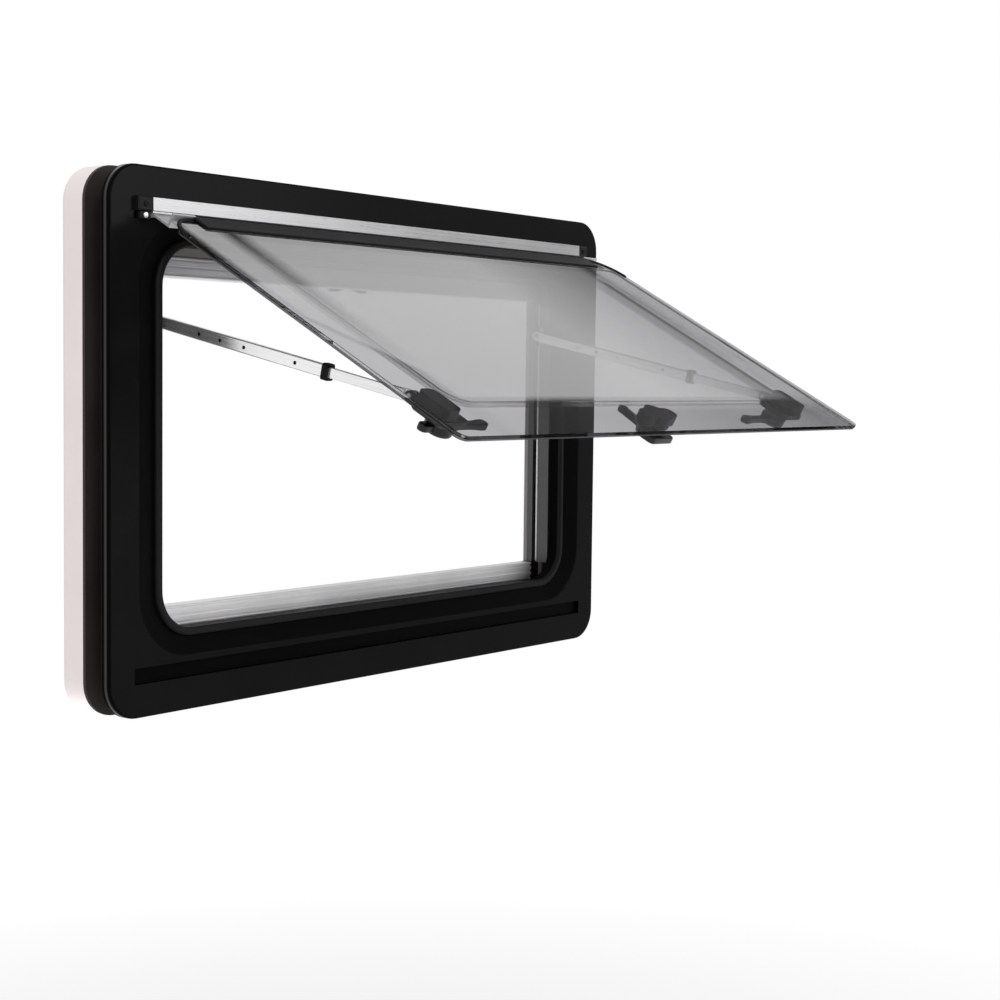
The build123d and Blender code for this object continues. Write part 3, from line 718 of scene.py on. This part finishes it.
def fitLever(master, name, side, mirrored=False):
    place = panePlace(latchHub(side))
    if mirrored:
        place = place @ Matrix.Scale(-1, 4, (1, 0, 0))
    lever = placeCopy(master, name, place, "lever_" + side, "black_latch", mirrored=mirrored)
    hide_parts("latch_lever_" + side)


leverMaster = modelSideLever()
centreMaster = modelCentreLever()
fitLever(leverMaster, "sideLeverLeft", "left")
fitLever(leverMaster, "sideLeverRight", "right", mirrored=True)
fitLever(centreMaster, "centreLever", "centre")
for master in (leverMaster, centreMaster):
    bpy.data.objects.remove(master)
print("levers fitted")


# screws and rivets, each modelled once
screw = {"radius": 0.0032, "height": 0.0016, "round": 0.0011,
         "slotWide": 0.0009, "slotLong": 0.0036, "slotDeep": 0.0009}
rivet = {"radius": 0.0034, "height": 0.0014, "round": 0.0012}


def modelScrew():
    head = addDrum("screwHead", screw["radius"], screw["height"], (0, 0, screw["height"] / 2), sides=32)
    roundRim(head, screw["round"], segments=4)
    slotSize = (screw["slotLong"], screw["slotWide"], 2 * screw["slotDeep"])
    for turn in (0, 90):
        slot = addBlock("slot", slotSize, (0, 0, screw["height"]))
        slot.data.transform(Matrix.Rotation(math.radians(turn), 4, "Z"))
        combine(head, slot, "DIFFERENCE")
    smoothOver(head)
    return head


def modelRivet():
    head = addDrum("rivetHead", rivet["radius"], rivet["height"], (0, 0, rivet["height"] / 2), sides=32)
    roundRim(head, rivet["round"], segments=5)
    smoothOver(head)
    return head


screwMaster = modelScrew()
rivetMaster = modelRivet()


def addScrew(name, point, normal, body="frame"):
    placeCopy(screwMaster, name, facing(point, normal), body, "rail_aluminium", screwSteel)


def addRivet(name, point, normal, slot="stay_metal"):
    placeCopy(rivetMaster, name, facing(point, normal), "frame", slot, screwSteel)


# dark discs in the holes on both sides of a stay's tube, painted shade for the holes' insides,
# made from rivet heads and joined into one piece
tubeHoleShade = {"at": (0.075, 0.107, 0.143, 0.218), "halfTube": 0.0044, "share": (0.62, 0.62, 0.5)}


def addTubeHoleShades(name, top, foot):
    along = (foot - top).normalized()
    smaller = Matrix.Diagonal((*tubeHoleShade["share"], 1))
    holeShades = []
    for distance in tubeHoleShade["at"]:
        for face in (1, -1):
            point = top + along * distance + acrossPane * face * tubeHoleShade["halfTube"]
            holeShades.append(copyOf(rivetMaster, name, facing(point, (face, 0, 0)) @ smaller))
    makeActive(holeShades[0])
    for holeShade in holeShades:
        holeShade.select_set(True)
    bpy.ops.object.join()
    fit(holeShades[0], "frame", "black_fittings")


# end stops of the hinge, small riveted blocks under the end caps
hingeStop = {"size": (0.016, 0.006, 0.008), "drop": 0.0045, "back": 0.004, "soften": 0.001}


def stopPlace(side):
    low, middle, high = cornersOf("hinge_cap_" + side)
    return Vector((middle.x, low.y + hingeStop["back"], low.z - hingeStop["drop"]))


pivotPlate = {"thick": 0.004, "screwRise": 0.009}
stayFork = {"reach": 0.033, "lift": 0.0103, "aside": 0.017, "halfWidth": 0.005}
for side, direction in (("left", 1), ("right", -1)):
    low, middle, high = cornersOf("hinge_cap_" + side)
    capFace = facing((middle.x, low.y, middle.z), (0, -1, 0))
    placeCopy(screwMaster, "hingeCapScrew_" + side, capFace, "frame", "black_fittings")
    stopFace = stopPlace(side) - Vector((0, hingeStop["size"][1] / 2, 0))
    addRivet("hingeStopRivet_" + side, stopFace, (0, -1, 0), "rail_aluminium")
    low, middle, high = cornersOf("stay_pivot_" + side)
    wallSide, pinEnd = (low.x, high.x) if side == "left" else (high.x, low.x)
    plateFace = wallSide + direction * pivotPlate["thick"]
    for label, rise in (("upper", 1), ("lower", -1)):
        screwPoint = (plateFace, middle.y, middle.z + rise * pivotPlate["screwRise"])
        addScrew("stayPivotScrew_" + side + "_" + label, screwPoint, (direction, 0, 0))
    addRivet("stayPivotRivet_" + side, (pinEnd, middle.y, middle.z), (direction, 0, 0))
    foot = latchHub(side) - downPane * stayFork["reach"] + outOfPane * stayFork["lift"]
    foot -= acrossPane * direction * stayFork["aside"]
    for label, ear in (("inner", 1), ("outer", -1)):
        earPoint = foot + acrossPane * ear * stayFork["halfWidth"]
        addRivet("stayFootRivet_" + side + "_" + label, earPoint, (ear, 0, 0))
    addTubeHoleShades("stayTubeHoleShade_" + side, Vector((foot.x, middle.y, middle.z)), foot)
for row in ("top", "bottom"):
    for side in ("left", "right"):
        low, middle, high = cornersOf("bar_cap_" + row + "_" + side)
        addScrew("barCapScrew_" + row + "_" + side, (middle.x, high.y, middle.z), (0, 1, 0))
for latch in ("left", "right", "centre"):
    dish = latchHub(latch) - outOfPane * (leverHub["height"] - leverHub["dishDepth"])
    addScrew("leverScrew_" + latch, dish, -outOfPane, "lever_" + latch)
for master in (screwMaster, rivetMaster):
    bpy.data.objects.remove(master)
print("screws and rivets placed")


# ribs on the blind catch
catchRibs = {"count": 4, "width": 0.046, "height": 0.0016, "depth": 0.0012, "gap": 0.004, "drop": 0.006,
             "soften": 0.0005}


def addCatchRibs():
    low, middle, high = cornersOf("blind_catch")
    size = (catchRibs["width"], 2 * catchRibs["depth"], catchRibs["height"])
    rib = addBlock("catchRibs", size, (middle.x, high.y, high.z - catchRibs["drop"]))
    softenEdges(rib, catchRibs["soften"], segments=3)
    makeActive(rib)
    repeat = rib.modifiers.new("repeat", "ARRAY")
    repeat.count = catchRibs["count"]
    repeat.use_relative_offset = False
    repeat.use_constant_offset = True
    repeat.constant_offset_displace = (0, 0, -catchRibs["gap"])
    bpy.ops.object.modifier_apply(modifier=repeat.name)
    smoothOver(rib)
    fit(rib, "frame", "black_fittings")


addCatchRibs()
print("catch ribs added")


# rubber beads that carry the dark strip round the pane's upper corners
cornerBead = {"radius": 0.045, "thick": 0.0024, "cornerX": 0.383, "cornerAlong": 0.0793, "out": 0.0107}


def modelCornerBead():
    deselectAll()
    bpy.ops.mesh.primitive_torus_add(major_radius=cornerBead["radius"], minor_radius=cornerBead["thick"],
                                     major_segments=96, minor_segments=16)
    bead = bpy.context.object
    for normal in ((1, 0, 0), (0, 1, 0)):
        editSelected(bead, "VERT", lambda place: True)
        bpy.ops.mesh.bisect(plane_co=(0, 0, 0), plane_no=normal, use_fill=True, clear_outer=True)
        leaveEdit()
    smoothOver(bead)
    return bead


beadMaster = modelCornerBead()
for side, direction in (("left", 1), ("right", -1)):
    corner = hingePoint + downPane * cornerBead["cornerAlong"] + outOfPane * cornerBead["out"]
    corner.x = -direction * cornerBead["cornerX"]
    place = panePlace(corner) @ Matrix.Scale(direction, 4, (1, 0, 0))
    placeCopy(beadMaster, "cornerBead_" + side, place, "frame", "seal_rubber", mirrored=direction < 0)
bpy.data.objects.remove(beadMaster)
print("corner beads added")


# rubber lip over the hinge leaf's outer edge, above the dark strip
leafLip = {"along": 0.0324, "out": 0.0147, "wide": 0.0036, "thick": 0.0012, "soften": 0.0004, "endGap": 0.004}


def addLeafLip():
    low, middle, high = cornersOf("pane_top_seal")
    size = (high.x - low.x - 2 * leafLip["endGap"], leafLip["wide"], leafLip["thick"])
    lip = addBlock("leafLip", size, (0, 0, 0))
    softenEdges(lip, leafLip["soften"], segments=2)
    smoothOver(lip)
    point = hingePoint + downPane * leafLip["along"] + outOfPane * leafLip["out"]
    point.x = middle.x
    lip.data.transform(panePlace(point))
    fit(lip, "frame", "seal_rubber")


addLeafLip()
print("leaf lip added")


# bright lips beside the slots of the blind guides, modelled once
guideLip = {"radius": 0.0012, "inset": 0.0165, "endGap": 0.002, "endRound": 0.0008}


def modelGuideLip():
    low, middle, high = cornersOf("blind_guide_left")
    length = high.z - low.z - 2 * guideLip["endGap"]
    lip = addDrum("guideLip", guideLip["radius"], length, (0, 0, 0), sides=24)
    roundRim(lip, guideLip["endRound"], segments=3)
    roundRim(lip, guideLip["endRound"], segments=3, top=False)
    smoothOver(lip)
    return lip


lipMaster = modelGuideLip()
for side in ("left", "right"):
    low, middle, high = cornersOf("blind_guide_" + side)
    face = high.x if side == "left" else low.x
    place = Matrix.Translation((face, high.y - guideLip["inset"], middle.z))
    placeCopy(lipMaster, "guideLip_" + side, place, "frame", "rail_aluminium", barSatinPaintedLight)
bpy.data.objects.remove(lipMaster)
print("guide lips added")


# collars that fill the step between a latch's top and its lever
latchCollar = {"radius": 0.014, "depth": 0.0045, "foot": -0.00525, "round": 0.001}


def modelCollar():
    middle = latchCollar["foot"] + latchCollar["depth"] / 2
    collar = addDrum("collar", latchCollar["radius"], latchCollar["depth"], (0, 0, middle), sides=48)
    roundRim(collar, latchCollar["round"], segments=3)
    smoothOver(collar)
    return collar


collarMaster = modelCollar()
for latch in ("left", "right", "centre"):
    placeCopy(collarMaster, "latchCollar_" + latch, panePlace(latchHub(latch)), "frame", "black_latch")
bpy.data.objects.remove(collarMaster)
print("latch collars added")


def modelHingeStop():
    stop = addBlock("hingeStop", hingeStop["size"], (0, 0, 0))
    softenEdges(stop, hingeStop["soften"], segments=3)
    smoothOver(stop)
    return stop


stopMaster = modelHingeStop()
for side in ("left", "right"):
    placeCopy(stopMaster, "hingeStop_" + side, Matrix.Translation(stopPlace(side)), "frame", "black_fittings")
bpy.data.objects.remove(stopMaster)
print("hinge stops added")


# studio: pale floor well below the window, soft lamps, white surroundings
studio = {"floorLevel": -0.9, "floorSize": 24, "floorTone": 0.86, "floorRough": 0.9, "shadowShare": 0.5,
          "nearFloor": 0.7, "farFloor": 2.2, "ambient": 0.62}
# a lamp without glints gives no highlights, and one without fills gives nothing else
lamps = {
    "keyLamp": {"place": (-1.9, -2.2, 2.0), "size": 1.6, "power": 44},
    "fillLamp": {"place": (0.9, -2.8, 0.4), "size": 1.6, "power": 8},
    "roomLamp": {"place": (0.6, 2.8, 1.8), "size": 1.8, "power": 6},
    "lowLamp": {"place": (-0.3, 0.1, -0.8), "size": 0.8, "power": 11,
                "aim": (-0.3, 0.1, 1.0), "glints": False},
    "cardLamp": {"place": (1.4, -2.2, 1.05), "size": 1.2, "power": 13,
                 "aim": (-0.3, 0, 0.5), "fills": False},
}


def seenDirectly(tree):
    # 1 for rays that look at the surroundings, straight or by way of gloss and glass
    path = tree.nodes.new("ShaderNodeLightPath")
    seen = addMath(tree, "MAXIMUM", path.outputs["Is Camera Ray"], path.outputs["Is Glossy Ray"])
    return addMath(tree, "MAXIMUM", seen, path.outputs["Is Transmission Ray"])


def setUpWorld():
    world = bpy.data.worlds.new("studioWorld")
    bpy.context.scene.world = world
    world.use_nodes = True
    tree = world.node_tree
    background = tree.nodes["Background"]
    background.inputs["Color"].default_value = (1, 1, 1, 1)
    strength = addRange(tree, seenDirectly(tree), 0.0, 1.0, studio["ambient"], 1.0)
    tree.links.new(strength, background.inputs["Strength"])


def addFloor():
    deselectAll()
    bpy.ops.mesh.primitive_plane_add(size=studio["floorSize"], location=(0, 0, studio["floorLevel"]))
    floor = bpy.context.object
    floor.name = "studioFloor"
    material = bpy.data.materials.new("paleFloor")
    material.use_nodes = True
    tree = material.node_tree
    paint = tree.nodes["Principled BSDF"]
    paint.inputs["Base Color"].default_value = (studio["floorTone"],) * 3 + (1,)
    paint.inputs["Roughness"].default_value = studio["floorRough"]
    glow = tree.nodes.new("ShaderNodeEmission")
    mix = tree.nodes.new("ShaderNodeMixShader")
    reach = addNode(tree, "ShaderNodeVectorMath", operation="LENGTH")
    tree.links.new(tree.nodes.new("ShaderNodeTexCoord").outputs["Object"], reach.inputs[0])
    plain = 1.0 - studio["shadowShare"]
    white = addRange(tree, reach.outputs["Value"], studio["nearFloor"], studio["farFloor"], plain, 1.0)
    tree.links.new(addMath(tree, "MULTIPLY", seenDirectly(tree), white), mix.inputs["Fac"])
    tree.links.new(paint.outputs["BSDF"], mix.inputs[1])
    tree.links.new(glow.outputs["Emission"], mix.inputs[2])
    tree.links.new(mix.outputs["Shader"], tree.nodes["Material Output"].inputs["Surface"])
    floor.data.materials.append(material)


def addLamp(name, lamp):
    light = bpy.data.lights.new(name, "AREA")
    light.size = lamp["size"]
    light.energy = lamp["power"]
    holder = bpy.data.objects.new(name, light)
    holder.location = lamp["place"]
    aim = Vector(lamp.get("aim", windowCentre)) - Vector(lamp["place"])
    holder.rotation_euler = aim.to_track_quat("-Z", "Y").to_euler()
    holder.visible_transmission = False
    holder.visible_glossy = lamp.get("glints", True)
    holder.visible_diffuse = lamp.get("fills", True)
    bpy.context.scene.collection.objects.link(holder)


setUpWorld()
addFloor()
for name, lamp in lamps.items():
    addLamp(name, lamp)
bpy.context.scene.view_settings.view_transform = "Standard"
print("studio set")


# camera at the photograph's viewing angle
view = {"place": (-1.8729, -1.5443, 0.3628), "yaw": 54.017, "pitch": 3.577, "roll": 0.663,
        "lens": 68.97, "sensor": 36}


def addCamera():
    camera = bpy.data.cameras.new("photoCamera")
    camera.sensor_width = view["sensor"]
    camera.lens = view["lens"]
    holder = bpy.data.objects.new("photoCamera", camera)
    heading = Matrix.Rotation(math.radians(-view["yaw"]), 4, "Z")
    tilt = Matrix.Rotation(math.radians(90 - view["pitch"]), 4, "X")
    roll = Matrix.Rotation(math.radians(view["roll"]), 4, "Z")
    holder.matrix_world = Matrix.Translation(view["place"]) @ heading @ tilt @ roll
    bpy.context.scene.collection.objects.link(holder)
    bpy.context.scene.camera = holder


addCamera()
print("camera set")
